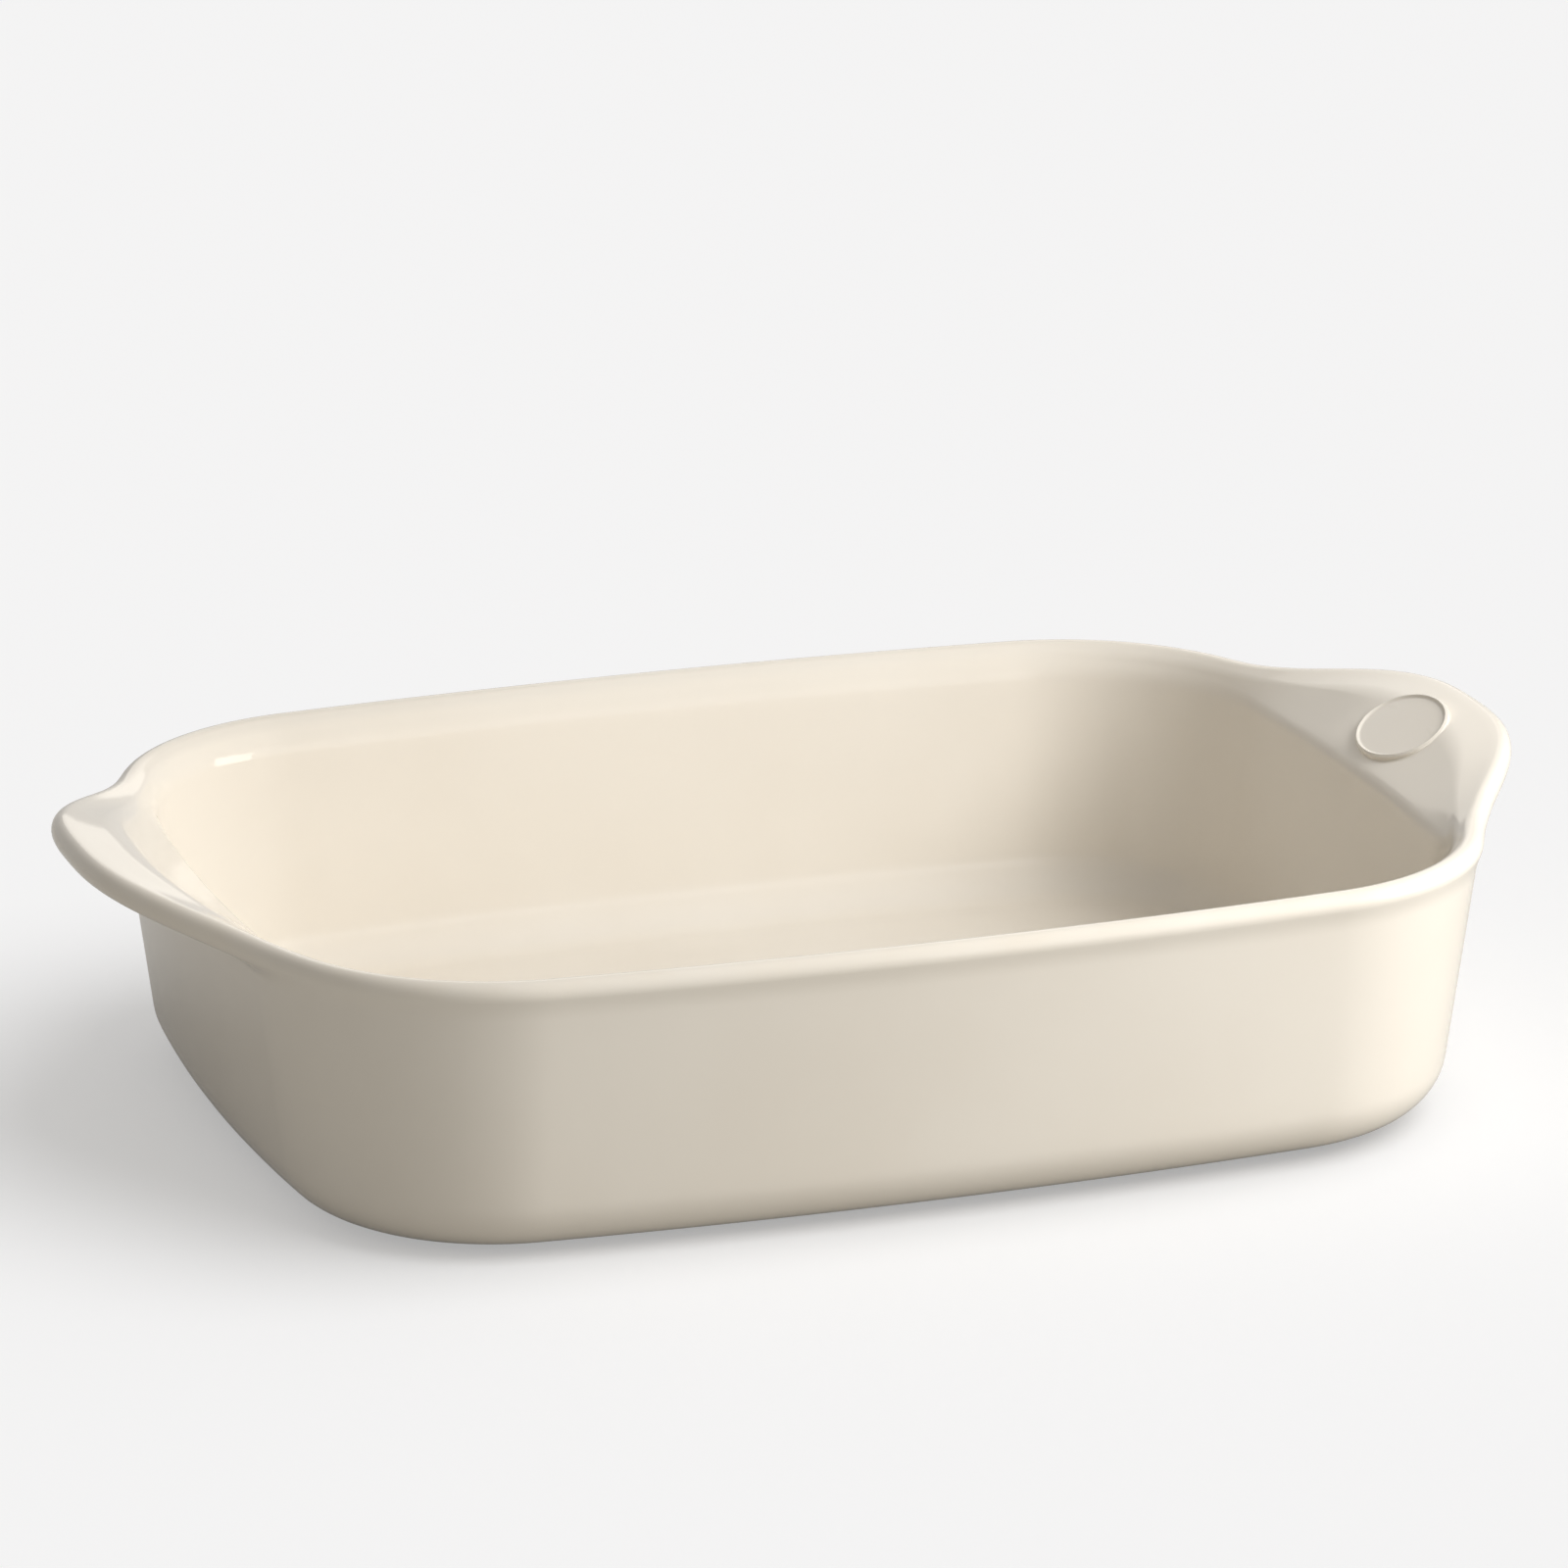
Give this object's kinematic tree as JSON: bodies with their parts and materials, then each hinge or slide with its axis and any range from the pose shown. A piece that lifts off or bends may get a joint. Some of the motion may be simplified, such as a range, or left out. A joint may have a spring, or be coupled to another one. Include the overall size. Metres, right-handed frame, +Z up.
{
  "type": "lasagna dish",
  "caption": "Deep oblong baking dish in cream glazed stoneware with bowed sides, a rolled lip and lifted wing handles at both ends.",
  "frame": {"origin": "centre of the foot on the table", "axes": "+X along the length towards the right handle, +Y to the back, +Z up"},
  "size_m": [0.3832, 0.248, 0.0842],
  "materials": {
    "glaze": "gloss",
    "bare_clay": "matte"
  },
  "bodies": {
    "root": {"dish_body": "glaze", "foot_ring": "bare_clay", "front_rim": "glaze", "back_rim": "glaze", "left_handle": "glaze", "right_handle": "glaze", "right_badge": "glaze"}
  },
  "joints": []
}
